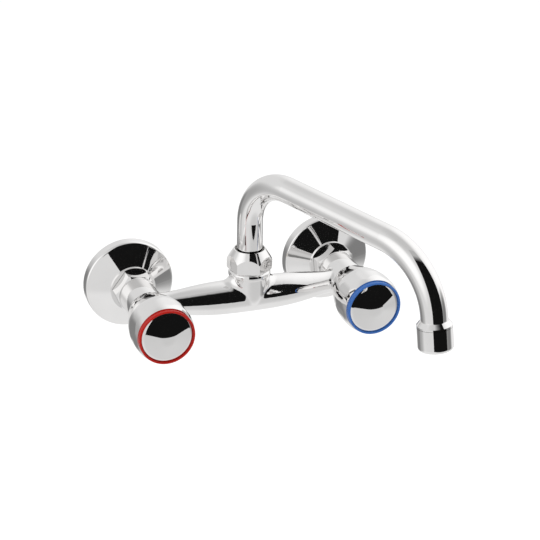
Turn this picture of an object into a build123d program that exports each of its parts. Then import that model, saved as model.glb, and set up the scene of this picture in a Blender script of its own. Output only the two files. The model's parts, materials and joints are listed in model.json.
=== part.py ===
from build123d import *

import os
from math import cos, radians, sin

# A wall-mounted two-handle mixer tap, in millimetres, with +Z up.
# X runs along the wall, +Y into it, and the room is at -Y. The origin lies on the wall's
# surface, midway between the two valve axes. "Out" is the distance from the wall into the
# room, so a point at out = 49 has y = -49. Hot is on the left, at -X, and cold at +X.

# Driving dimensions: the layout
inlet_spacing = 150.0
spout_swing = 26.0
union_offset = 8.0

# Clearances
thread_clearance = 0.08
running_clearance = 0.05
slip_clearance = 0.4
seat_clearance = 0.05
end_gap = 0.2
seal_gap = 0.03

# How closely an edge has to agree in size and place with the feature it belongs to
edge_match = 0.01

# Wall escutcheons
escutcheon_radius = 32.0
escutcheon_rim_depth = 6.0
escutcheon_rounding = 1.5
escutcheon_rounding_depth = 1.9
escutcheon_wall = 1.3
escutcheon_hub_radius = 16.2
escutcheon_hub_gap = 0.3
escutcheon_hub_length = 4.5
escutcheon_cone_slope = 24.4

# Eccentric wall unions
wall_thread_radius = 10.48
wall_thread_length = 14.0
wall_thread_chamfer = 1.0
union_body_radius = 13.2
union_body_out = 1.5
union_body_length = 7.0
union_thread_radius = 12.0
union_thread_length = 12.7
union_wall_bore = 7.0
union_room_bore = 8.2
union_bore_lap = 2.0

# Union nuts, their gaskets and the threaded inlet tails
union_nut_flats = 27.0
union_nut_length = 10.2
union_nut_lip = 2.8
union_nut_chamfer = 1.6
union_nut_bevel = 2.1
union_nut_turn = {"hot": -7.0, "cold": 36.0}
gasket_thickness = 1.6
gasket_edge = 0.3
tail_flange = 1.8
tail_flange_play = 0.4
tail_wall = 3.5
tail_end_gap = 1.5
tail_socket_wall = 3.5
tail_socket_depth = 8.0
tail_socket_land = 1.0
tail_groove_depth = 2.2
tail_groove_width = 1.7
tail_ring_radius = 0.62

# Mixer body: two valve housings, two tapering arms and the spout boss
housing_radius = 13.0
housing_reach = 15.0
housing_edge = 0.8
inlet_bore_length = 8.4
valve_wall = 4.5
seat_radius = 7.5
seat_height = 1.5
seat_setback = 7.0
seat_bore = 6.0
chamber_length = 11.5
chamber_undercut = 0.22
bonnet_thread_wall = 2.58
arm_bow = 3.2
arm_middle_radius = 12.1
arm_shoulder_radius = 11.4
arm_shoulder_x = 30.0
arm_waist_drop = 3.4
arm_waist_inset = 29.0
arm_end_drop = 4.8
arm_end_inset = 9.0
arm_fillet = 4.0
knob_relief_gap = 0.3
knob_relief_play = 0.6
waterway_radius = 4.0
waterway_setback = 2.5
boss_radius = 13.4
boss_foot_radius = 7.9
boss_foot = -8.5
boss_waist = 4.0
boss_fillet = 7.0
boss_top = 20.1
boss_shoulder_radius = 14.8
boss_shoulder_height = 3.6
boss_shoulder_flare = 1.6
boss_shoulder_rounding = 2.4
nipple_wall = 3.1
nipple_height = 6.9
socket_radius = 8.4
socket_bottom = -2.0

# Valve headworks: a bonnet, a spindle that only turns and a plunger that only slides
bonnet_insert = 11.5
bonnet_seal_thickness = 0.8
bonnet_flat_land = 0.08
bonnet_flange = 4.2
bonnet_neck_radius = 7.5
bonnet_neck = 4.5
bearing_length = 8.5
guide_flats = 12.2
spindle_radius = 4.0
spindle_collar_overhang = 1.0
spindle_collar = 1.6
spindle_thread_radius = 2.95
spindle_grooves = (5.9, 2.5)
spindle_groove_width = 1.3
spindle_ring_radius = 0.48
circlip_overhang = 1.3
circlip_thickness = 0.7
circlip_gap = 2.4
circlip_groove_depth = 0.75
spline_depth = 0.8
spline_tooth = 1.0
spline_teeth = 12
spline_length = 9.3
screw_radius = 2.0
screw_depth = 9.0
plunger_disc_radius = 8.6
plunger_disc = 2.6
plunger_blind = 1.4
plunger_lift = 3.0
washer_radius = 8.0
washer_thickness = 3.9
stud_radius = 2.0
washer_nut_flats = 7.0
washer_nut_height = 2.6
stud_proud = 0.6

# Knobs: a chromed barrel with eight soft flats, a coloured ring and a domed cap
knob_lap = 9.0
knob_rear_rounding = 0.8
knob_rear_depth = 1.2
knob_shoulder_wall = 1.6
knob_flare_length = 12.2
knob_flare_drop = 2.95
knob_belly_radius = 21.45
knob_nose_length = 12.4
knob_nose_drop = 1.35
knob_pocket_depth = 7.3
knob_flat_count = 8
knob_flat_depth = 0.5
knob_flat_blend = 16.0
knob_edge_turn = {"hot": 11.5, "cold": -10.5}
knob_wall = 2.6
knob_hub_radius = 7.6
knob_web = 3.4
knob_lip = 1.0
ring_land = 0.6
ring_width = 1.5
ring_proud = 3.5
cap_gap = 0.1
cap_rim_proud = 2.3
cap_edge_width = 2.2
cap_edge_drop = 0.8
cap_tilt = 12.6
cap_apex_radius = 26.0
cap_skin = 1.5
cap_skirt_inset = 0.35
cap_skirt = 1.3
cap_skirt_length = 8.1
screw_head_radius = 3.8
screw_head_height = 2.2
screw_slot = 0.9

# Spout: a bent tube that swings on the boss, its nut and its outlet
spout_radius = 9.0
spout_wall = 1.0
riser_length = 20.7
riser_bend_radius = 32.4
run_slope = 5.0
run_length = 87.4
outlet_bend_radius = 47.8
outlet_slope = 82.5
outlet_straight = 4.3
spout_nut_flats = 27.5
spout_nut_gap = 0.3
spout_nut_height = 14.9
spout_nut_turn = 38.0
spout_nut_foot_bevel = 0.6
spout_nut_foot = 0.5
spout_nut_waist = 6.6
spout_nut_mouth_gap = 1.4
spout_nut_lip = 0.7
slide_ring_thickness = 1.2
ferrule_flange_play = 0.3
ferrule_flange = 1.7
ferrule_seat = 1.2
ferrule_depth = 18.5
ferrule_bore = 5.6
ferrule_grooves = (4.0, 10.0)
ferrule_groove_width = 1.7
ferrule_ring_radius = 0.67
nozzle_seat = 2.2
nozzle_shoulder = 2.0
nozzle_top_wall = 0.4
nozzle_wall = 3.4
nozzle_thread_length = 7.6
collar_overhang = 2.8
collar_wall = 1.2
collar_length = 15.8
collar_rounding = 2.6
collar_lip = 1.6
collar_lip_width = 1.8
aerator_gasket_thickness = 1.7
aerator_wall = 0.4
aerator_rim = 1.2
aerator_rim_width = 0.6
aerator_plate = 2.2
aerator_proud = 0.9
aerator_hole_radius = 0.75
aerator_hole_rings = 3

# Worked-out places along the valve axes
union_thread_start = union_body_out + union_body_length
union_thread_out = union_thread_start + union_thread_length
tail_flange_out = union_thread_out + gasket_thickness
tail_seat_out = tail_flange_out + tail_flange
nut_front_out = tail_seat_out + union_nut_lip
union_nut_out = nut_front_out - union_nut_length
escutcheon_hub_out = union_nut_out - escutcheon_hub_gap
housing_rear_out = nut_front_out + end_gap
tail_groove_out = housing_rear_out + tail_groove_depth
inlet_end_out = housing_rear_out + inlet_bore_length
tail_end_out = inlet_end_out - tail_end_gap
valve_wall_out = inlet_end_out + valve_wall
seat_out = valve_wall_out + seat_height
body_axis_out = seat_out + seat_setback
waterway_out = body_axis_out - waterway_setback
housing_front_out = body_axis_out + housing_reach
chamber_end_out = valve_wall_out + chamber_length
bonnet_seat_out = housing_front_out + bonnet_seal_thickness
bonnet_rear_out = housing_front_out - bonnet_insert
bonnet_neck_out = bonnet_seat_out + bonnet_flange + bonnet_neck
guide_out = bonnet_neck_out - bearing_length
spindle_grooves_out = [bonnet_neck_out - groove for groove in spindle_grooves]
collar_out = guide_out - end_gap - spindle_collar
circlip_out = bonnet_neck_out + 2 * end_gap
spline_out = circlip_out + circlip_thickness + 3 * end_gap
spindle_end_out = spline_out + spline_length
washer_out = seat_out + seat_clearance
disc_out = washer_out + washer_thickness
plunger_out = disc_out + plunger_disc
plunger_end_out = collar_out - plunger_lift - 2 * end_gap
plunger_blind_out = plunger_out + plunger_blind
spindle_thread_out = plunger_blind_out + plunger_lift + 2 * end_gap
web_out = spindle_end_out + end_gap
web_front_out = web_out + knob_web
knob_rear_out = housing_front_out - knob_lap
knob_relief_out = knob_rear_out - knob_relief_gap
knob_shoulder_out = knob_rear_out + knob_rear_depth
knob_flare_out = knob_rear_out + knob_flare_length
knob_front_out = web_front_out + knob_pocket_depth
knob_belly_out = knob_front_out - knob_nose_length
ring_seat_out = knob_front_out - knob_lip
ring_front_out = knob_front_out + ring_proud
cap_rim_out = knob_front_out + cap_rim_proud

# Worked-out radii and places across the valve axes
union_nut_corner = union_nut_flats / 2 / cos(radians(30))
tail_flange_radius = union_thread_radius - tail_flange_play
tail_radius = housing_radius - tail_wall
tail_socket_radius = tail_radius - tail_socket_wall
tail_bore = tail_socket_radius - tail_socket_land
bonnet_thread_radius = housing_radius - bonnet_thread_wall
bonnet_hexagon_radius = bonnet_thread_radius + bonnet_flat_land
chamber_radius = bonnet_thread_radius - chamber_undercut
arm_waist_radius = housing_radius - arm_waist_drop
arm_end_radius = housing_radius - arm_end_drop
bearing_radius = spindle_radius + running_clearance
spindle_collar_radius = spindle_radius + spindle_collar_overhang
spindle_groove_radius = spindle_radius - 2 * spindle_ring_radius - 2 * seal_gap
circlip_radius = spindle_radius + circlip_overhang
circlip_groove_radius = spindle_radius - circlip_groove_depth
spline_radius = spindle_radius - spline_depth
knob_shoulder_radius = housing_radius + slip_clearance + knob_shoulder_wall
knob_rear_radius = knob_shoulder_radius - knob_rear_rounding
knob_relief_radius = knob_shoulder_radius + knob_relief_play
knob_flare_radius = knob_belly_radius - knob_flare_drop
knob_front_radius = knob_belly_radius - knob_nose_drop
knob_flat_distance = knob_belly_radius - knob_flat_depth
ring_outer_radius = knob_front_radius - ring_land
ring_inner_radius = ring_outer_radius - ring_width
cap_radius = ring_inner_radius - cap_gap
arm_waist_x = inlet_spacing / 2 - arm_waist_inset
arm_end_x = inlet_spacing / 2 - arm_end_inset

# Worked-out places along the spout axis
nut_bottom = boss_top + spout_nut_gap
nut_top = nut_bottom + spout_nut_height
nipple_top = boss_top + nipple_height
flange_bottom = nipple_top + end_gap
flange_top = flange_bottom + ferrule_flange
slide_bottom = flange_top + end_gap
nut_throat_z = slide_bottom + slide_ring_thickness
tube_bottom = flange_top - ferrule_seat
riser_top = nut_top + riser_length

# Worked-out radii about the spout and its outlet
nipple_radius = socket_radius + nipple_wall
nut_corner = spout_nut_flats / 2 / cos(radians(30))
nut_thread = nipple_radius + thread_clearance
nut_mouth = spout_radius + spout_nut_mouth_gap
ferrule_radius = socket_radius - running_clearance
ferrule_flange_radius = nipple_radius - ferrule_flange_play
ferrule_groove_radius = ferrule_radius - 2 * ferrule_ring_radius - 2 * seal_gap
nozzle_top_radius = spout_radius + nozzle_top_wall
collar_radius = spout_radius + collar_overhang
nozzle_thread_radius = collar_radius - collar_wall
nozzle_bore = nozzle_thread_radius - nozzle_wall
collar_lip_radius = nozzle_thread_radius - collar_lip_width
aerator_body_radius = nozzle_thread_radius - aerator_rim_width
aerator_plate_radius = collar_lip_radius - end_gap
aerator_cup_radius = aerator_plate_radius - aerator_wall
aerator_hole_pitch = (aerator_cup_radius - 2 * aerator_hole_radius) / aerator_hole_rings

sides = {"hot": -1, "cold": 1}
os.makedirs("parts", exist_ok=True)


def valve_x(side):
    """X of a valve axis."""
    return sides[side] * inlet_spacing / 2


def valve_axis(side):
    """A valve's axis, pointing into the room."""
    return Axis((valve_x(side), 0, 0), (0, -1, 0))


def valve_section(side):
    """The plane of a valve's half section: its x is the radius and its y is out."""
    return Plane(origin=(valve_x(side), 0, 0), x_dir=(1, 0, 0), z_dir=(0, 0, -1))


def valve_face(side, out, height=0.0):
    """A plane square to a valve axis, looking into the room."""
    return Plane(origin=(valve_x(side), -out, height), x_dir=(1, 0, 0), z_dir=(0, -1, 0))


def turn_on_valve(side, points, mode=Mode.ADD):
    """Turn a half section of (radius, out) points about a valve axis."""
    with BuildSketch(valve_section(side)) as section:
        Polygon(*points, align=None)
    revolve(section.sketch, axis=valve_axis(side), mode=mode)


def turn_ring_on_valve(side, radius, out, wire):
    """Turn a round sealing ring about a valve axis."""
    with BuildSketch(valve_section(side)) as section:
        with Locations((radius, out)):
            Circle(wire)
    revolve(section.sketch, axis=valve_axis(side))


spout_centre = (0, -body_axis_out, 0)
spout_axis = Axis(spout_centre, (0, 0, 1))
spout_section = Plane(origin=spout_centre, x_dir=(1, 0, 0), z_dir=(0, -1, 0))


def turn_on_spout(points, mode=Mode.ADD):
    """Turn a half section of (radius, height) points about the spout's axis."""
    with BuildSketch(spout_section) as section:
        Polygon(*points, align=None)
    revolve(section.sketch, axis=spout_axis, mode=mode)


def finish(builder, name):
    """Label a piece and write it."""
    builder.part.label = name
    export_step(builder.part, f"parts/{name}.step")


def box_section(inner, outer, start, end):
    """The rectangular half section of a plain ring."""
    return [(inner, start), (outer, start), (outer, end), (inner, end)]


# Mixer body
arm_stations = [
    (-arm_end_x, arm_end_radius),
    (-arm_waist_x, arm_waist_radius),
    (-arm_shoulder_x, arm_shoulder_radius),
    (0, arm_middle_radius),
    (arm_shoulder_x, arm_shoulder_radius),
    (arm_waist_x, arm_waist_radius),
    (arm_end_x, arm_end_radius),
]

with BuildPart() as mixer_body:
    for x, radius in arm_stations:
        station_out = body_axis_out - arm_bow * (x / arm_end_x) ** 2
        with BuildSketch(Plane(origin=(x, -station_out, 0), x_dir=(0, 1, 0), z_dir=(1, 0, 0))):
            Circle(radius)
    loft()
    with BuildSketch(spout_section):
        with BuildLine():
            Polyline((boss_foot_radius, boss_foot), (0, boss_foot), (0, boss_top), (boss_radius, boss_top))
            Line((boss_radius, boss_top), (boss_radius, boss_waist))
            TangentArc((boss_radius, boss_waist), (boss_foot_radius, boss_foot), tangent=(0, -1))
        make_face()
    revolve(axis=spout_axis)
    boss_root = mixer_body.edges(Select.NEW).filter_by(lambda e: e.bounding_box().size.Y > 1)
    fillet(boss_root, radius=boss_fillet)
    for side in sides:
        turn_on_valve(side, box_section(0, housing_radius, housing_rear_out, housing_front_out))
        arm_root = mixer_body.edges(Select.NEW).filter_by(
            lambda e: e.bounding_box().size.Y > 1 and e.bounding_box().size.Z > 1
        )
        fillet(arm_root, radius=arm_fillet)
        rim = mixer_body.edges().filter_by(
            lambda e: e.geom_type == GeomType.CIRCLE
            and abs(e.radius - housing_radius) < edge_match
            and abs(e.arc_center.X - valve_x(side)) < edge_match
            and abs(e.arc_center.Z) < edge_match
        )
        chamfer(rim, length=housing_edge)
        relief = box_section(housing_radius, knob_relief_radius, knob_relief_out, housing_front_out)
        turn_on_valve(side, relief, Mode.SUBTRACT)
    shoulder_foot = boss_top - boss_shoulder_height
    shoulder_edge = boss_top - boss_shoulder_rounding
    with BuildSketch(spout_section):
        with BuildLine():
            Polyline(
                (boss_shoulder_radius - boss_shoulder_rounding, boss_top),
                (0, boss_top),
                (0, shoulder_foot - boss_shoulder_flare),
                (boss_radius, shoulder_foot - boss_shoulder_flare),
                (boss_shoulder_radius, shoulder_foot),
                (boss_shoulder_radius, shoulder_edge),
            )
            TangentArc(
                (boss_shoulder_radius, shoulder_edge),
                (boss_shoulder_radius - boss_shoulder_rounding, boss_top),
                tangent=(0, 1),
            )
        make_face()
    revolve(axis=spout_axis)
    turn_on_spout(box_section(0, nipple_radius, boss_top, nipple_top))
    for side in sides:
        turn_on_valve(
            side,
            [
                (0, housing_rear_out),
                (tail_radius + thread_clearance, housing_rear_out),
                (tail_radius + thread_clearance, inlet_end_out),
                (seat_bore, inlet_end_out),
                (seat_bore, seat_out),
                (0, seat_out),
            ],
            Mode.SUBTRACT,
        )
        moat = box_section(seat_radius, chamber_radius, valve_wall_out, seat_out)
        turn_on_valve(side, moat, Mode.SUBTRACT)
        turn_on_valve(side, box_section(0, chamber_radius, seat_out, chamber_end_out), Mode.SUBTRACT)
        bore = bonnet_thread_radius + thread_clearance
        turn_on_valve(side, box_section(0, bore, chamber_end_out, housing_front_out), Mode.SUBTRACT)
    with BuildSketch(Plane(origin=(0, -waterway_out, 0), x_dir=(0, 1, 0), z_dir=(1, 0, 0))):
        Circle(waterway_radius)
    extrude(amount=valve_x("cold") - seat_radius, both=True, mode=Mode.SUBTRACT)
    turn_on_spout(box_section(0, socket_radius, socket_bottom, nipple_top), Mode.SUBTRACT)
finish(mixer_body, "mixer_body")


def make_s_union(side):
    """The eccentric union between the wall pipe and the tap: its wall thread hangs lower."""
    with BuildPart() as piece:
        with BuildSketch(valve_face(side, union_body_out, -union_offset / 2)):
            SlotCenterToCenter(union_offset, 2 * union_body_radius, rotation=90)
        extrude(amount=union_body_length)
        with BuildSketch(valve_face(side, -wall_thread_length, -union_offset)):
            Circle(wall_thread_radius)
        extrude(amount=wall_thread_length + union_body_out)
        chamfer(piece.faces().sort_by(Axis.Y)[-1].edges(), length=wall_thread_chamfer)
        with BuildSketch(valve_face(side, union_thread_start)):
            Circle(union_thread_radius)
        extrude(amount=union_thread_length)
        with BuildSketch(valve_face(side, -wall_thread_length, -union_offset)):
            Circle(union_wall_bore)
        extrude(amount=wall_thread_length + union_thread_start - union_bore_lap, mode=Mode.SUBTRACT)
        with BuildSketch(valve_face(side, union_body_out + union_bore_lap)):
            Circle(union_room_bore)
        extrude(amount=union_thread_out, mode=Mode.SUBTRACT)
    finish(piece, f"{side}_s_union")


def make_escutcheon(side):
    """The conical cover over the hole in the wall, screwed onto the union's thread."""
    bore = union_thread_radius + thread_clearance
    hub_back = escutcheon_hub_out - escutcheon_hub_length
    rim = (escutcheon_radius - escutcheon_rounding, escutcheon_rim_depth + escutcheon_rounding_depth)
    hub = (escutcheon_hub_radius, escutcheon_hub_out)
    slope = radians(escutcheon_cone_slope)
    along = (-cos(slope), sin(slope))
    root = (hub[0], rim[1] + (rim[0] - hub[0]) * sin(slope) / cos(slope))
    rim_inside, root_inside = [
        (r - escutcheon_wall * along[1], out + escutcheon_wall * along[0]) for r, out in (rim, root)
    ]
    edge = (escutcheon_radius, escutcheon_rim_depth)
    edge_inside = escutcheon_radius - escutcheon_wall
    with BuildPart() as piece:
        with BuildSketch(valve_section(side)):
            with BuildLine():
                Line((escutcheon_radius, 0), edge)
                TangentArc(edge, rim, tangent=(0, 1))
                Polyline(
                    rim,
                    root,
                    hub,
                    (bore, escutcheon_hub_out),
                    (bore, hub_back),
                    (root_inside[0], hub_back),
                    root_inside,
                    rim_inside,
                    (edge_inside, escutcheon_rim_depth - escutcheon_wall / 2),
                    (edge_inside, 0),
                    (escutcheon_radius, 0),
                )
            make_face()
        revolve(axis=valve_axis(side))
    finish(piece, f"{side}_escutcheon")


def make_union_nut(side):
    """The hexagon nut that draws the tap onto the union."""
    thread = union_thread_radius + thread_clearance
    with BuildPart() as piece:
        with BuildSketch(valve_face(side, union_nut_out)):
            RegularPolygon(union_nut_corner, 6, rotation=union_nut_turn[side])
            Circle(thread, mode=Mode.SUBTRACT)
        extrude(amount=tail_seat_out - union_nut_out)
        with BuildSketch(valve_face(side, tail_seat_out)):
            RegularPolygon(union_nut_corner, 6, rotation=union_nut_turn[side])
            Circle(tail_radius + end_gap, mode=Mode.SUBTRACT)
        extrude(amount=union_nut_lip)
        turn_on_valve(
            side,
            [
                (0, union_nut_out),
                (union_nut_corner, union_nut_out),
                (union_nut_corner, nut_front_out - union_nut_chamfer),
                (union_nut_corner - union_nut_bevel, nut_front_out),
                (0, nut_front_out),
            ],
            Mode.INTERSECT,
        )
    finish(piece, f"{side}_union_nut")


def make_union_gasket(side):
    """The fibre gasket between the union's face and the tail's flange."""
    with BuildPart() as piece:
        outer = union_thread_radius - gasket_edge
        turn_on_valve(side, box_section(union_room_bore, outer, union_thread_out, tail_flange_out))
    finish(piece, f"{side}_union_gasket")


def make_inlet_tail(side):
    """The threaded tail in the housing, whose flange holds the union nut on."""
    groove_end = tail_groove_out + tail_groove_width
    groove = tail_radius - 2 * tail_ring_radius - 2 * seal_gap
    with BuildPart() as piece:
        turn_on_valve(
            side,
            [
                (0, tail_flange_out),
                (tail_flange_radius, tail_flange_out),
                (tail_flange_radius, tail_seat_out),
                (tail_radius, tail_seat_out),
                (tail_radius, tail_groove_out),
                (groove, tail_groove_out),
                (groove, groove_end),
                (tail_radius, groove_end),
                (tail_radius, tail_end_out),
                (0, tail_end_out),
            ],
        )
        with BuildSketch(valve_face(side, tail_flange_out)):
            RegularPolygon(tail_socket_radius, 6, major_radius=False)
        extrude(amount=tail_socket_depth, mode=Mode.SUBTRACT)
        turn_on_valve(side, box_section(0, tail_bore, tail_flange_out, tail_end_out), Mode.SUBTRACT)
    finish(piece, f"{side}_inlet_tail")


def make_tail_oring(side):
    """The sealing ring in the tail's groove."""
    with BuildPart() as piece:
        turn_ring_on_valve(
            side,
            tail_radius - tail_ring_radius - seal_gap,
            tail_groove_out + tail_groove_width / 2,
            tail_ring_radius,
        )
    finish(piece, f"{side}_tail_oring")


def make_bonnet(side):
    """The brass headwork screwed into the housing, with the plunger's guide and the bearing."""
    with BuildPart() as piece:
        turn_on_valve(
            side,
            [
                (0, bonnet_rear_out),
                (bonnet_thread_radius, bonnet_rear_out),
                (bonnet_thread_radius, bonnet_seat_out),
                (bonnet_neck_radius, bonnet_seat_out),
                (bonnet_neck_radius, bonnet_neck_out),
                (0, bonnet_neck_out),
            ],
        )
        with BuildSketch(valve_face(side, bonnet_seat_out)):
            RegularPolygon(bonnet_hexagon_radius, 6, major_radius=False)
        extrude(amount=bonnet_flange)
        with BuildSketch(valve_face(side, bonnet_rear_out)):
            RegularPolygon(guide_flats / 2, 6, major_radius=False)
        extrude(amount=guide_out - bonnet_rear_out, mode=Mode.SUBTRACT)
        turn_on_valve(side, box_section(0, bearing_radius, guide_out, bonnet_neck_out), Mode.SUBTRACT)
    finish(piece, f"{side}_bonnet")


def make_bonnet_seal(side):
    """The flat seal under the bonnet's hexagon."""
    with BuildPart() as piece:
        inner = bonnet_thread_radius + seal_gap
        outer = housing_radius - housing_edge
        turn_on_valve(side, box_section(inner, outer, housing_front_out, bonnet_seat_out))
    finish(piece, f"{side}_bonnet_seal")


def splined_sketch(grow):
    """The spline's section, grown all round by a clearance."""
    Circle(spline_radius + grow)
    with PolarLocations(spline_radius, spline_teeth):
        Rectangle(spline_tooth + 2 * grow, spline_tooth + 2 * grow, rotation=45)


def make_spindle(side):
    """The spindle: it turns in the bonnet, and its screw drives the plunger."""
    section = [
        (0, spindle_thread_out),
        (spindle_thread_radius, spindle_thread_out),
        (spindle_thread_radius, collar_out),
        (spindle_collar_radius, collar_out),
        (spindle_collar_radius, collar_out + spindle_collar),
        (spindle_radius, collar_out + spindle_collar),
    ]
    for groove in spindle_grooves_out:
        section += [
            (spindle_radius, groove),
            (spindle_groove_radius, groove),
            (spindle_groove_radius, groove + spindle_groove_width),
            (spindle_radius, groove + spindle_groove_width),
        ]
    clip_end = circlip_out + circlip_thickness
    section += [
        (spindle_radius, circlip_out),
        (circlip_groove_radius, circlip_out),
        (circlip_groove_radius, clip_end),
        (spindle_radius, clip_end),
        (spindle_radius, spline_out),
        (0, spline_out),
    ]
    with BuildPart() as piece:
        turn_on_valve(side, section)
        with BuildSketch(valve_face(side, spline_out)):
            splined_sketch(0)
        extrude(amount=spline_length)
        hole_start = spindle_end_out - screw_depth - end_gap
        bore = screw_radius + thread_clearance
        turn_on_valve(side, box_section(0, bore, hole_start, spindle_end_out), Mode.SUBTRACT)
    finish(piece, f"{side}_spindle")


def make_spindle_orings(side):
    """The two sealing rings on the spindle."""
    with BuildPart() as piece:
        for groove in spindle_grooves_out:
            turn_ring_on_valve(
                side,
                spindle_groove_radius + spindle_ring_radius + seal_gap,
                groove + spindle_groove_width / 2,
                spindle_ring_radius,
            )
    finish(piece, f"{side}_spindle_orings")


def make_circlip(side):
    """The open ring that keeps the spindle in the bonnet."""
    with BuildPart() as piece:
        with BuildSketch(valve_face(side, circlip_out)):
            Circle(circlip_radius)
            Circle(circlip_groove_radius + seal_gap, mode=Mode.SUBTRACT)
            with Locations((0, circlip_radius)):
                Rectangle(circlip_gap, 2 * circlip_radius, mode=Mode.SUBTRACT)
        extrude(amount=circlip_thickness)
    finish(piece, f"{side}_circlip")


def make_plunger(side):
    """The hexagonal plunger: the bonnet stops it turning, so the spindle's screw slides it."""
    stud_out = washer_out - washer_nut_height - stud_proud
    with BuildPart() as piece:
        turn_on_valve(
            side,
            [
                (0, stud_out),
                (stud_radius, stud_out),
                (stud_radius, disc_out),
                (plunger_disc_radius, disc_out),
                (plunger_disc_radius, plunger_out),
                (0, plunger_out),
            ],
        )
        with BuildSketch(valve_face(side, plunger_out)):
            RegularPolygon(guide_flats / 2 - 2 * running_clearance, 6, major_radius=False)
        extrude(amount=plunger_end_out - plunger_out)
        bore = spindle_thread_radius + running_clearance
        turn_on_valve(side, box_section(0, bore, plunger_blind_out, plunger_end_out), Mode.SUBTRACT)
    finish(piece, f"{side}_plunger")


def make_valve_washer(side):
    """The rubber washer that closes on the seat."""
    with BuildPart() as piece:
        hole = stud_radius + thread_clearance
        turn_on_valve(side, box_section(hole, washer_radius, washer_out, disc_out))
    finish(piece, f"{side}_valve_washer")


def make_washer_nut(side):
    """The small nut that holds the rubber washer on the plunger's stud."""
    with BuildPart() as piece:
        with BuildSketch(valve_face(side, washer_out - washer_nut_height)):
            RegularPolygon(washer_nut_flats / 2, 6, major_radius=False)
            Circle(stud_radius + thread_clearance, mode=Mode.SUBTRACT)
        extrude(amount=washer_nut_height)
    finish(piece, f"{side}_washer_nut")


def make_knob(side):
    """The knob: a flared barrel with soft flats, hollow at the back, with a splined hub."""
    shoulder = (knob_shoulder_radius, knob_shoulder_out)
    flare = (knob_flare_radius, knob_flare_out)
    belly = (knob_belly_radius, knob_belly_out)
    front = (knob_front_radius, knob_front_out)
    lean = (flare[0] - shoulder[0], flare[1] - shoulder[1])
    entry = housing_radius + slip_clearance
    cavity_radius = knob_flat_distance - knob_wall
    with BuildPart() as piece:
        with BuildSketch(valve_section(side)):
            with BuildLine():
                TangentArc(shoulder, (knob_rear_radius, knob_rear_out), tangent=(-lean[0], -lean[1]))
                Line(shoulder, flare)
                swell = TangentArc(flare, belly, tangent=lean)
                TangentArc(belly, front, tangent=swell % 1)
                Polyline(
                    front, (0, knob_front_out), (0, knob_rear_out), (knob_rear_radius, knob_rear_out)
                )
            make_face()
        revolve(axis=valve_axis(side))
        with BuildSketch(valve_face(side, knob_rear_out)) as flats:
            RegularPolygon(
                knob_flat_distance,
                knob_flat_count,
                major_radius=False,
                rotation=knob_edge_turn[side],
            )
            fillet(flats.vertices(), radius=knob_flat_blend)
        extrude(amount=knob_front_out - knob_rear_out, mode=Mode.INTERSECT)
        turn_on_valve(
            side,
            [
                (0, knob_rear_out),
                (entry, knob_rear_out),
                (entry, knob_shoulder_out + knob_wall),
                (knob_flare_radius - knob_wall, knob_flare_out + knob_wall),
                (cavity_radius, knob_belly_out - knob_wall),
                (cavity_radius, web_out),
                (knob_hub_radius, web_out),
                (knob_hub_radius, spline_out),
                (0, spline_out),
            ],
            Mode.SUBTRACT,
        )
        with BuildSketch(valve_face(side, spline_out)):
            splined_sketch(thread_clearance)
        extrude(amount=web_out - spline_out, mode=Mode.SUBTRACT)
        pocket = cap_radius - cap_skirt_inset
        turn_on_valve(
            side,
            [
                (0, web_out),
                (screw_radius + slip_clearance, web_out),
                (screw_radius + slip_clearance, web_front_out),
                (pocket, web_front_out),
                (pocket, ring_seat_out),
                (ring_outer_radius + thread_clearance, ring_seat_out),
                (ring_outer_radius + thread_clearance, knob_front_out),
                (0, knob_front_out),
            ],
            Mode.SUBTRACT,
        )
    finish(piece, f"{side}_knob")


def make_index_ring(side):
    """The coloured ring, with a round bead at the front."""
    bead = (ring_outer_radius - ring_inner_radius) / 2
    bead_out = ring_front_out - bead
    with BuildPart() as piece:
        with BuildSketch(valve_section(side)):
            with BuildLine():
                Polyline(
                    (ring_outer_radius, bead_out),
                    (ring_outer_radius, ring_seat_out),
                    (ring_inner_radius, ring_seat_out),
                    (ring_inner_radius, bead_out),
                )
                ThreePointArc(
                    (ring_inner_radius, bead_out),
                    (ring_inner_radius + bead, ring_front_out),
                    (ring_outer_radius, bead_out),
                )
            make_face()
        revolve(axis=valve_axis(side))
    finish(piece, f"{side}_index_ring")


def make_index_cap(side):
    """The domed cap inside the ring: a blunt cone whose skirt grips the knob's pocket."""
    skirt_outer = cap_radius - cap_skirt_inset - running_clearance
    skirt_inner = skirt_outer - cap_skirt
    skirt_out = cap_rim_out - cap_skirt_length
    under = ring_seat_out + seat_clearance
    tilt = radians(cap_tilt)
    down_slope = (cos(tilt), -sin(tilt))
    foot = (cap_radius - cap_edge_width, cap_rim_out + cap_edge_drop)
    head_radius = cap_apex_radius * sin(tilt)
    head = (head_radius, foot[1] + (foot[0] - head_radius) * sin(tilt) / cos(tilt))
    apex = (0, head[1] + cap_apex_radius * (1 - cos(tilt)))
    with BuildPart() as piece:
        with BuildSketch(valve_section(side)):
            with BuildLine():
                TangentArc(head, apex, tangent=(-down_slope[0], -down_slope[1]))
                Line(head, foot)
                TangentArc(foot, (cap_radius, cap_rim_out), tangent=down_slope)
                Polyline(
                    (cap_radius, cap_rim_out),
                    (cap_radius, under),
                    (skirt_outer, under),
                    (skirt_outer, skirt_out),
                    (skirt_inner, skirt_out),
                    (skirt_inner, foot[1] - cap_skin),
                    (0, apex[1] - cap_skin),
                    apex,
                )
            make_face()
        revolve(axis=valve_axis(side))
    finish(piece, f"{side}_index_cap")


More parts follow.
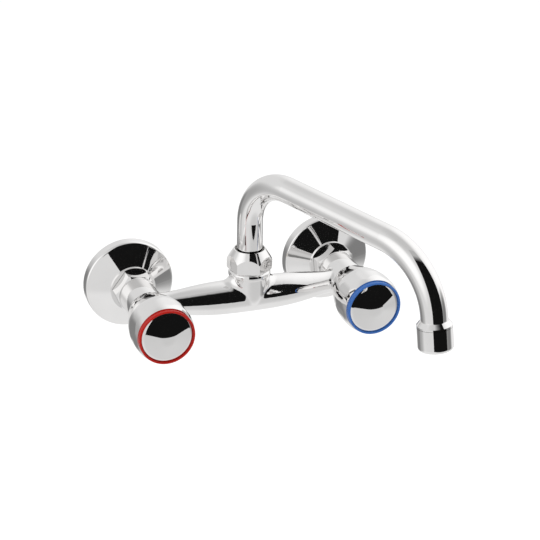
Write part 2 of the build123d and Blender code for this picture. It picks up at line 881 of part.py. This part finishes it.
def make_knob_screw(side):
    """The screw that holds the knob on the spindle."""
    head_end = web_front_out + screw_head_height
    with BuildPart() as piece:
        turn_on_valve(
            side,
            [
                (0, spindle_end_out - screw_depth),
                (screw_radius, spindle_end_out - screw_depth),
                (screw_radius, web_front_out),
                (screw_head_radius, web_front_out),
                (screw_head_radius, head_end - screw_slot),
                (screw_head_radius - screw_slot, head_end),
                (0, head_end),
            ],
        )
        with BuildSketch(valve_face(side, head_end - screw_slot)):
            Rectangle(2 * screw_head_radius, screw_slot)
        extrude(amount=screw_slot, mode=Mode.SUBTRACT)
    finish(piece, f"{side}_knob_screw")


for side in sides:
    make_s_union(side)
    make_escutcheon(side)
    make_union_nut(side)
    make_union_gasket(side)
    make_inlet_tail(side)
    make_tail_oring(side)
    make_bonnet(side)
    make_bonnet_seal(side)
    make_spindle(side)
    make_spindle_orings(side)
    make_circlip(side)
    make_plunger(side)
    make_valve_washer(side)
    make_washer_nut(side)
    make_knob(side)
    make_index_ring(side)
    make_index_cap(side)
    make_knob_screw(side)

# Spout nut: a hexagon with a long cone above and a short one below
with BuildPart() as spout_nut:
    with BuildSketch(Plane(origin=(0, -body_axis_out, nut_bottom))):
        RegularPolygon(nut_corner, 6, rotation=spout_nut_turn)
    extrude(amount=spout_nut_height)
    turn_on_spout(
        [
            (0, nut_bottom),
            (nut_corner - spout_nut_foot_bevel, nut_bottom),
            (nut_corner, nut_bottom + spout_nut_foot),
            (nut_corner, nut_bottom + spout_nut_foot + spout_nut_waist),
            (nut_mouth + spout_nut_lip, nut_top),
            (0, nut_top),
        ],
        Mode.INTERSECT,
    )
    turn_on_spout(box_section(0, nut_thread, nut_bottom, nut_throat_z), Mode.SUBTRACT)
    turn_on_spout(box_section(0, nut_mouth, nut_throat_z, nut_top), Mode.SUBTRACT)
finish(spout_nut, "spout_nut")

with BuildPart() as spout_slide_ring:
    turn_on_spout(
        box_section(spout_radius + 2 * running_clearance, nipple_radius, slide_bottom, nut_throat_z)
    )
finish(spout_slide_ring, "spout_slide_ring")

# Spout ferrule: the turned foot of the spout, with two sealing grooves
ferrule_foot = flange_bottom - ferrule_depth
ferrule_section = [(ferrule_bore, ferrule_foot), (ferrule_radius, ferrule_foot)]
for groove in ferrule_grooves:
    ferrule_section += [
        (ferrule_radius, ferrule_foot + groove),
        (ferrule_groove_radius, ferrule_foot + groove),
        (ferrule_groove_radius, ferrule_foot + groove + ferrule_groove_width),
        (ferrule_radius, ferrule_foot + groove + ferrule_groove_width),
    ]
ferrule_section += [
    (ferrule_radius, flange_bottom),
    (ferrule_flange_radius, flange_bottom),
    (ferrule_flange_radius, flange_top),
    (spout_radius, flange_top),
    (spout_radius, tube_bottom),
    (ferrule_bore, tube_bottom),
]
with BuildPart() as spout_ferrule:
    turn_on_spout(ferrule_section)
finish(spout_ferrule, "spout_ferrule")

with BuildPart() as spout_orings:
    for groove in ferrule_grooves:
        with BuildSketch(spout_section):
            ring_z = ferrule_foot + groove + ferrule_groove_width / 2
            with Locations((ferrule_groove_radius + ferrule_ring_radius + seal_gap, ring_z)):
                Circle(ferrule_ring_radius)
        revolve(axis=spout_axis)
finish(spout_orings, "spout_orings")

# Spout tube: riser, bend, sloping run, bend and a short straight end, in one upright plane
swing = radians(spout_swing)
spout_plane = Plane(
    origin=spout_centre, x_dir=(sin(swing), -cos(swing), 0), z_dir=(-cos(swing), -sin(swing), 0)
)
with BuildPart() as spout_tube:
    with BuildLine(spout_plane):
        riser = Line((0, tube_bottom), (0, riser_top))
        first_bend = JernArc(riser @ 1, riser % 1, riser_bend_radius, -(90 + run_slope))
        run = Line(first_bend @ 1, first_bend @ 1 + (first_bend % 1) * run_length)
        second_bend = JernArc(run @ 1, run % 1, outlet_bend_radius, run_slope - outlet_slope)
        outlet = Line(second_bend @ 1, second_bend @ 1 + (second_bend % 1) * outlet_straight)
    with BuildSketch(Plane(origin=riser @ 0, z_dir=(0, 0, 1))):
        Circle(spout_radius)
        Circle(spout_radius - spout_wall, mode=Mode.SUBTRACT)
    sweep()
finish(spout_tube, "spout_tube")

# The outlet's parts are turned about the line of the tube's last straight. Their places are
# measured along it from the tube's end.
outlet_axis = Axis(outlet @ 1, outlet % 1)
outlet_section = Plane(
    origin=outlet @ 1, x_dir=(outlet % 1).cross(spout_plane.z_dir), z_dir=spout_plane.z_dir
)
thread_end = nozzle_shoulder + nozzle_thread_length
collar_top = nozzle_shoulder + end_gap
collar_end = collar_top + collar_length
lip_start = collar_end - collar_lip
gasket_start = thread_end + seal_gap
gasket_end = gasket_start + aerator_gasket_thickness
aerator_start = gasket_end + seal_gap
aerator_end = lip_start + aerator_proud
collar_bore = nozzle_thread_radius + thread_clearance


def turn_on_outlet(points, mode=Mode.ADD):
    """Turn a half section of (radius, distance along) points about the outlet's axis."""
    with BuildSketch(outlet_section) as section:
        Polygon(*points, align=None)
    revolve(section.sketch, axis=outlet_axis, mode=mode)


with BuildPart() as spout_nozzle:
    turn_on_outlet(
        [
            (spout_radius, -nozzle_seat),
            (nozzle_top_radius, -nozzle_seat),
            (collar_radius, nozzle_shoulder - collar_rounding / 2),
            (collar_radius, nozzle_shoulder),
            (nozzle_thread_radius, nozzle_shoulder),
            (nozzle_thread_radius, thread_end),
            (nozzle_bore, thread_end),
            (nozzle_bore, 0),
            (spout_radius, 0),
        ]
    )
finish(spout_nozzle, "spout_nozzle")

with BuildPart() as aerator_collar:
    turn_on_outlet(
        [
            (collar_bore, collar_top),
            (collar_radius, collar_top),
            (collar_radius, collar_end),
            (collar_lip_radius, collar_end),
            (collar_lip_radius, lip_start),
            (collar_bore, lip_start),
        ]
    )
    collar_edge = aerator_collar.edges().filter_by(
        lambda e: e.geom_type == GeomType.CIRCLE and abs(e.radius - collar_radius) < edge_match
    )
    fillet(collar_edge.sort_by(Axis.Z)[0], radius=collar_rounding)
finish(aerator_collar, "aerator_collar")

with BuildPart() as aerator_gasket:
    turn_on_outlet(box_section(nozzle_bore, nozzle_thread_radius, gasket_start, gasket_end))
finish(aerator_gasket, "aerator_gasket")

with BuildPart() as aerator_insert:
    turn_on_outlet(
        [
            (0, aerator_end - aerator_plate),
            (aerator_cup_radius, aerator_end - aerator_plate),
            (aerator_cup_radius, aerator_start),
            (nozzle_thread_radius, aerator_start),
            (nozzle_thread_radius, aerator_start + aerator_rim),
            (aerator_body_radius, aerator_start + aerator_rim),
            (aerator_body_radius, lip_start - seal_gap),
            (aerator_plate_radius, lip_start - seal_gap),
            (aerator_plate_radius, aerator_end),
            (0, aerator_end),
        ]
    )
    with BuildSketch(Plane(origin=outlet @ 1 + (outlet % 1) * aerator_end, z_dir=-(outlet % 1))):
        Circle(aerator_hole_radius)
        for ring in range(1, aerator_hole_rings + 1):
            with PolarLocations(ring * aerator_hole_pitch, 6 * ring):
                Circle(aerator_hole_radius)
    extrude(amount=2 * aerator_plate, mode=Mode.SUBTRACT)
finish(aerator_insert, "aerator_insert")
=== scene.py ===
import json
from math import cos, pi, radians, sin

import bpy
from mathutils import Euler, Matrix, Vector

# The looks of a chromed wall mixer tap, in metres. X runs along the wall, +Y into it, and
# the room is at -Y. The frame brings every solid piece at its real place.
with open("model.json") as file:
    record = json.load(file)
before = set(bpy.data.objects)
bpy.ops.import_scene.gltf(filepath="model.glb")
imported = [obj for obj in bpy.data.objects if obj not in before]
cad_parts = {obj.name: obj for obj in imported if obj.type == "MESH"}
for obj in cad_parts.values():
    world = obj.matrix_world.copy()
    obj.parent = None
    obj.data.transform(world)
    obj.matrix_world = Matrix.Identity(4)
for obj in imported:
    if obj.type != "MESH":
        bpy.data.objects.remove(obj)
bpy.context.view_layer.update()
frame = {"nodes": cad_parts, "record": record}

# The least angle of a cap's sharp edges, in radians
cap_sharp_angle = 0.5

# The photograph's camera
camera_place = (-0.40255, -1.17190, 0.55141)
camera_yaw = 20.416
camera_pitch = 24.064
camera_roll = 1.12
camera_lens = 124.57
camera_sensor = 36
camera_clip_start = 0.05

# The studio: the floor, the plain light and the two softboxes
floor_height = -0.45
floor_size = 12.0
floor_lift = 0.28
room_light = 0.90
softbox_distance = 1.0
softbox_middle = 0.62
softbox_height = 1.6
softbox_level = 0.6

# The black card whose image is in the chrome, and how far above its middle its fade starts and
# ends, as shares of its height
card_azimuth = 13.1
card_distance = 0.592
card_left = -0.365
card_right = 0.343
card_bottom = -0.184
card_top = 1.60
card_fade_start = 0.0
card_fade_end = 0.16
card_black = (0.007, 0.007, 0.007)
card_faded = (0.50, 0.50, 0.50)

# The room in the chrome: its grey, its darker top, and its lobes, each with a direction, the
# cosines at which it starts and is full, and its level
room_grey_look = (0.77, 0.77, 0.77)
room_top_look = (0.62, 0.62, 0.62)
room_top_start = 0.7
room_top_end = 0.97
room_lobes = [
    ((0, 0, -1), 0.38, 0.55, 0.86),
    ((0.30, -0.88, -0.38), 0.68, 0.99, 0.65),
    ((-0.70, 0.66, -0.27), 0.77, 0.99, 0.41),
    ((-0.38, 0.82, -0.42), 0.90, 0.98, 0.24),
    ((-0.91, -0.26, 0.31), 0.81, 0.98, 1.16),
    ((0.84, 0.31, 0.45), 0.49, 0.99, 1.15),
    ((0.93, -0.31, -0.18), 0.88, 0.99, 0.23),
]


# Materials
def new_material(name):
    """A material with its node tree, links and shader."""
    material = bpy.data.materials.new(name)
    material.use_nodes = True
    tree = material.node_tree
    return material, tree.nodes, tree.links, tree.nodes["Principled BSDF"]


def object_noise(nodes, links, scale, detail=2.0, roughness=0.5, stretch=(1, 1, 1)):
    """Noise in the object's own space, so that it stays with a moving piece."""
    place = nodes.new("ShaderNodeTexCoord")
    mapping = nodes.new("ShaderNodeMapping")
    mapping.inputs["Scale"].default_value = stretch
    noise = nodes.new("ShaderNodeTexNoise")
    noise.inputs["Scale"].default_value = scale
    noise.inputs["Detail"].default_value = detail
    noise.inputs["Roughness"].default_value = roughness
    links.new(place.outputs["Object"], mapping.inputs["Vector"])
    links.new(mapping.outputs["Vector"], noise.inputs["Vector"])
    return noise.outputs["Fac"]


def remap(nodes, links, value, start, end, low, high):
    """Carries a value from the range start..end to low..high, clamped."""
    node = nodes.new("ShaderNodeMapRange")
    node.inputs["From Min"].default_value = start
    node.inputs["From Max"].default_value = end
    node.inputs["To Min"].default_value = low
    node.inputs["To Max"].default_value = high
    links.new(value, node.inputs["Value"])
    return node.outputs["Result"]


def add_bump(nodes, links, shader, height, strength, depth):
    """Bump on the shader's normal from a height value, by its strength and its depth in metres."""
    bump = nodes.new("ShaderNodeBump")
    bump.inputs["Strength"].default_value = strength
    bump.inputs["Distance"].default_value = depth
    links.new(height, bump.inputs["Height"])
    links.new(bump.outputs["Normal"], shader.inputs["Normal"])


def mix_colours(nodes, links, factor, first, second):
    """A colour between two, by a factor."""
    mix = nodes.new("ShaderNodeMix")
    mix.data_type = "RGBA"
    mix.inputs["A"].default_value = (*first, 1)
    mix.inputs["B"].default_value = (*second, 1)
    links.new(factor, mix.inputs["Factor"])
    return mix.outputs["Result"]


def chrome(name, polish, waviness, wave_scale):
    """Bright plate: faint smears and spots in its gloss, and the polisher's shallow waves."""
    material, nodes, links, shader = new_material(name)
    shader.inputs["Metallic"].default_value = 1.0
    smears = object_noise(nodes, links, scale=45, detail=4)
    spots = object_noise(nodes, links, scale=900, detail=1)
    tint = remap(nodes, links, smears, start=0.35, end=0.7, low=0, high=1)
    colour = mix_colours(
        nodes, links, tint, first=(0.885, 0.877, 0.872), second=(0.85, 0.842, 0.836)
    )
    links.new(colour, shader.inputs["Base Color"])
    gloss = remap(nodes, links, smears, start=0.4, end=0.75, low=polish, high=polish * 1.6)
    speckle = remap(nodes, links, spots, start=0.72, end=0.8, low=0, high=0.05)
    roughness = nodes.new("ShaderNodeMath")
    roughness.operation = "ADD"
    links.new(gloss, roughness.inputs[0])
    links.new(speckle, roughness.inputs[1])
    links.new(roughness.outputs["Value"], shader.inputs["Roughness"])
    waves = object_noise(nodes, links, scale=wave_scale, detail=1)
    add_bump(nodes, links, shader, waves, strength=waviness, depth=0.001)
    return material


def brass(name):
    """Machined brass, with turning marks and a light tarnish."""
    material, nodes, links, shader = new_material(name)
    shader.inputs["Metallic"].default_value = 1.0
    tarnish = object_noise(nodes, links, scale=120, detail=5)
    tint = remap(nodes, links, tarnish, start=0.4, end=0.75, low=0, high=1)
    colour = mix_colours(
        nodes, links, tint, first=(0.72, 0.50, 0.22), second=(0.47, 0.32, 0.15)
    )
    links.new(colour, shader.inputs["Base Color"])
    gloss = remap(nodes, links, tarnish, start=0.3, end=0.7, low=0.22, high=0.4)
    links.new(gloss, shader.inputs["Roughness"])
    turning = object_noise(nodes, links, scale=60, detail=3, stretch=(0.2, 40, 0.2))
    add_bump(nodes, links, shader, turning, strength=0.25, depth=0.0002)
    return material


def rubber(name, dark, light, grain):
    """Matt rubber or fibre, with a fine grain."""
    material, nodes, links, shader = new_material(name)
    fine = object_noise(nodes, links, scale=grain, detail=6, roughness=0.7)
    links.new(mix_colours(nodes, links, fine, dark, light), shader.inputs["Base Color"])
    gloss = remap(nodes, links, fine, start=0.3, end=0.7, low=0.55, high=0.8)
    links.new(gloss, shader.inputs["Roughness"])
    add_bump(nodes, links, shader, fine, strength=0.35, depth=0.0001)
    return material


def plastic(name, colour, shade, polish, specular=0.5):
    """Moulded plastic: a slight shade in its colour, uneven gloss and the mould's faint skin."""
    material, nodes, links, shader = new_material(name)
    cloud = object_noise(nodes, links, scale=150, detail=3)
    links.new(mix_colours(nodes, links, cloud, colour, shade), shader.inputs["Base Color"])
    gloss = remap(nodes, links, cloud, start=0.3, end=0.7, low=polish, high=polish * 1.5)
    links.new(gloss, shader.inputs["Roughness"])
    shader.inputs["Specular IOR Level"].default_value = specular
    skin = object_noise(nodes, links, scale=1500, detail=2)
    add_bump(nodes, links, shader, skin, strength=0.15, depth=0.00005)
    return material


def steel(name):
    """Bright drawn steel with fine scratches."""
    material, nodes, links, shader = new_material(name)
    shader.inputs["Metallic"].default_value = 1.0
    scratches = object_noise(nodes, links, scale=300, detail=4, stretch=(1, 12, 1))
    colour = mix_colours(
        nodes, links, scratches, first=(0.50, 0.50, 0.51), second=(0.62, 0.62, 0.63)
    )
    links.new(colour, shader.inputs["Base Color"])
    gloss = remap(nodes, links, scratches, start=0.3, end=0.7, low=0.2, high=0.38)
    links.new(gloss, shader.inputs["Roughness"])
    add_bump(nodes, links, shader, scratches, strength=0.2, depth=0.0001)
    return material


materials = {
    "body_chrome": chrome("body_chrome", polish=0.03, waviness=0.10, wave_scale=70),
    "cover_chrome": chrome("cover_chrome", polish=0.03, waviness=0.04, wave_scale=60),
    "nut_chrome": chrome("nut_chrome", polish=0.035, waviness=0.06, wave_scale=120),
    "spout_chrome": chrome("spout_chrome", polish=0.025, waviness=0.05, wave_scale=60),
    "outlet_chrome": chrome("outlet_chrome", polish=0.03, waviness=0.03, wave_scale=100),
    "knob_chrome": chrome("knob_chrome", polish=0.03, waviness=0.04, wave_scale=80),
    "cap_chrome": chrome("cap_chrome", polish=0.025, waviness=0.02, wave_scale=60),
    "raw_brass": brass("raw_brass"),
    "black_rubber": rubber(
        "black_rubber", dark=(0.012, 0.012, 0.012), light=(0.03, 0.03, 0.03), grain=900
    ),
    "fibre_seal": rubber(
        "fibre_seal", dark=(0.30, 0.07, 0.04), light=(0.42, 0.13, 0.08), grain=1400
    ),
    "white_plastic": plastic(
        "white_plastic", colour=(0.80, 0.80, 0.78), shade=(0.74, 0.74, 0.71), polish=0.35
    ),
    "grey_plastic": plastic(
        "grey_plastic", colour=(0.55, 0.56, 0.57), shade=(0.48, 0.49, 0.50), polish=0.4
    ),
    "steel": steel("steel"),
    "red_plastic": plastic(
        "red_plastic", (0.46, 0.010, 0.004), (0.41, 0.008, 0.004), polish=0.2, specular=0.2
    ),
    "blue_plastic": plastic(
        "blue_plastic", (0.042, 0.155, 0.48), (0.035, 0.13, 0.43), polish=0.2, specular=0.3
    ),
}

for part in frame["record"]["subparts"]:
    node = frame["nodes"][part["node"]]
    node.data.materials.clear()
    node.data.materials.append(materials[part["material_slot"]])

# The caps are shaded from their own faces, which keeps their middles clean
for name in ("hot_index_cap", "cold_index_cap"):
    mesh = frame["nodes"][name].data
    if "custom_normal" in mesh.attributes:
        mesh.attributes.remove(mesh.attributes["custom_normal"])
    mesh.set_sharp_from_angle(angle=cap_sharp_angle)


# Studio: floor, card and lamps
def add_light_path_mix(nodes, links, ray, plain, other):
    """The other shader for one kind of ray, and the plain one for the rest."""
    rays = nodes.new("ShaderNodeLightPath")
    mix = nodes.new("ShaderNodeMixShader")
    links.new(rays.outputs[ray], mix.inputs["Fac"])
    links.new(plain, mix.inputs[1])
    links.new(other, mix.inputs[2])
    return mix.outputs["Shader"]


def grey_light(nodes, level):
    """Plain grey light, by its level."""
    light = nodes.new("ShaderNodeEmission")
    light.inputs["Color"].default_value = (level, level, level, 1)
    return light.outputs["Emission"]


def at_angle(azimuth, distance, height):
    """A place round the tap: azimuth 0 is straight out from the wall, and 90 is to the right."""
    turn = radians(azimuth)
    return (distance * sin(turn), -distance * cos(turn), height)


def add_softbox(name, azimuth, width):
    """An upright lamp of an even brightness, turned to the tap, which the chrome doesn't see."""
    data = bpy.data.lights.new(name, "AREA")
    data.shape = "RECTANGLE"
    data.size = width
    data.size_y = softbox_height
    data.energy = softbox_level * pi * width * softbox_height
    lamp = bpy.data.objects.new(name, data)
    lamp.location = at_angle(azimuth, softbox_distance, softbox_middle)
    lamp.rotation_euler = (-lamp.location).to_track_quat("-Z", "Y").to_euler()
    lamp.visible_glossy = False
    bpy.context.scene.collection.objects.link(lamp)


bpy.ops.mesh.primitive_plane_add(size=floor_size, location=(0, 0, floor_height))
floor = bpy.context.object
floor.name = "floor"
material, nodes, links, shader = new_material("floor_white")
cloud = object_noise(nodes, links, scale=3)
colour = mix_colours(nodes, links, cloud, first=(0.80, 0.80, 0.80), second=(0.82, 0.82, 0.82))
links.new(colour, shader.inputs["Base Color"])
shader.inputs["Roughness"].default_value = 0.9
lifted = nodes.new("ShaderNodeAddShader")
links.new(shader.outputs["BSDF"], lifted.inputs[0])
links.new(grey_light(nodes, floor_lift), lifted.inputs[1])
seen = add_light_path_mix(
    nodes, links, "Is Camera Ray", shader.outputs["BSDF"], lifted.outputs["Shader"]
)
links.new(seen, nodes["Material Output"].inputs["Surface"])
floor.data.materials.append(material)
floor.visible_glossy = False

# The black card: it stands before the tap, fades towards its top, and only the chrome sees it
bpy.ops.mesh.primitive_plane_add(size=1, location=at_angle(card_azimuth, card_distance, 0))
card = bpy.context.object
card.name = "black_card"
card.rotation_euler = (radians(90), 0, radians(card_azimuth))
card_side = Vector((cos(radians(card_azimuth)), sin(radians(card_azimuth)), 0))
card.location += card_side * (card_left + card_right) / 2
card.location.z += (card_bottom + card_top) / 2
card.scale = (card_right - card_left, card_top - card_bottom, 1)
card.visible_camera = card.visible_diffuse = card.visible_shadow = False
material = bpy.data.materials.new("card_black")
material.use_nodes = True
nodes, links = material.node_tree.nodes, material.node_tree.links
nodes.remove(nodes["Principled BSDF"])
place = nodes.new("ShaderNodeTexCoord")
axes = nodes.new("ShaderNodeSeparateXYZ")
links.new(place.outputs["Object"], axes.inputs["Vector"])
card_light = nodes.new("ShaderNodeEmission")
fade = remap(nodes, links, axes.outputs["Y"], card_fade_start, card_fade_end, low=0, high=1)
links.new(mix_colours(nodes, links, fade, card_black, card_faded), card_light.inputs["Color"])
links.new(card_light.outputs["Emission"], nodes["Material Output"].inputs["Surface"])
card.data.materials.append(material)

add_softbox("left_softbox", azimuth=-72, width=1.25)
add_softbox("right_softbox", azimuth=93, width=1.3)

# The room: white to the camera, plain white light, and in the chrome a light grey room with
# a bright window on each side, a dark corner behind, and a pale ground with darker parts
world = bpy.data.worlds.new("studio")
bpy.context.scene.world = world
world.use_nodes = True
nodes, links = world.node_tree.nodes, world.node_tree.links
direction = nodes.new("ShaderNodeTexCoord").outputs["Generated"]


def lobe(toward, start, end):
    """1 round a direction, falling smoothly to 0."""
    dot = nodes.new("ShaderNodeVectorMath")
    dot.operation = "DOT_PRODUCT"
    dot.inputs[1].default_value = Vector(toward).normalized()
    links.new(direction, dot.inputs[0])
    value = remap(nodes, links, dot.outputs["Value"], start, end, 0, 1)
    value.node.interpolation_type = "SMOOTHSTEP"
    return value


def blend_level(factor, base, level):
    """A grey level laid over another colour by a factor."""
    mix = nodes.new("ShaderNodeMix")
    mix.data_type = "RGBA"
    links.new(factor, mix.inputs["Factor"])
    links.new(base, mix.inputs["A"])
    mix.inputs["B"].default_value = (level, level, level, 1)
    return mix.outputs["Result"]


overhead = lobe((0, 0, 1), room_top_start, room_top_end)
room_grey = mix_colours(nodes, links, overhead, room_grey_look, room_top_look)
for toward, start, end, level in room_lobes:
    room_grey = blend_level(lobe(toward, start, end), room_grey, level)
room_look = nodes.new("ShaderNodeBackground")
links.new(room_grey, room_look.inputs["Color"])
plain_light = nodes["Background"]
plain_light.inputs["Color"].default_value = (1, 1, 1, 1)
plain_light.inputs["Strength"].default_value = room_light
white_look = nodes.new("ShaderNodeBackground")
white_look.inputs["Color"].default_value = (1, 1, 1, 1)
mirrored = add_light_path_mix(
    nodes,
    links,
    "Is Glossy Ray",
    plain_light.outputs["Background"],
    room_look.outputs["Background"],
)
seen = add_light_path_mix(
    nodes, links, "Is Camera Ray", mirrored, white_look.outputs["Background"]
)
links.new(seen, nodes["World Output"].inputs["Surface"])

camera_data = bpy.data.cameras.new("camera")
camera_data.lens = camera_lens
camera_data.sensor_width = camera_sensor
camera_data.clip_start = camera_clip_start
camera = bpy.data.objects.new("camera", camera_data)
camera.location = camera_place
look = Euler((radians(90 - camera_pitch), 0, radians(-camera_yaw))).to_matrix()
roll = Euler((0, 0, radians(camera_roll))).to_matrix()
camera.rotation_euler = (look @ roll).to_euler()
bpy.context.scene.collection.objects.link(camera)
bpy.context.scene.camera = camera

bpy.context.scene.view_settings.view_transform = "Standard"
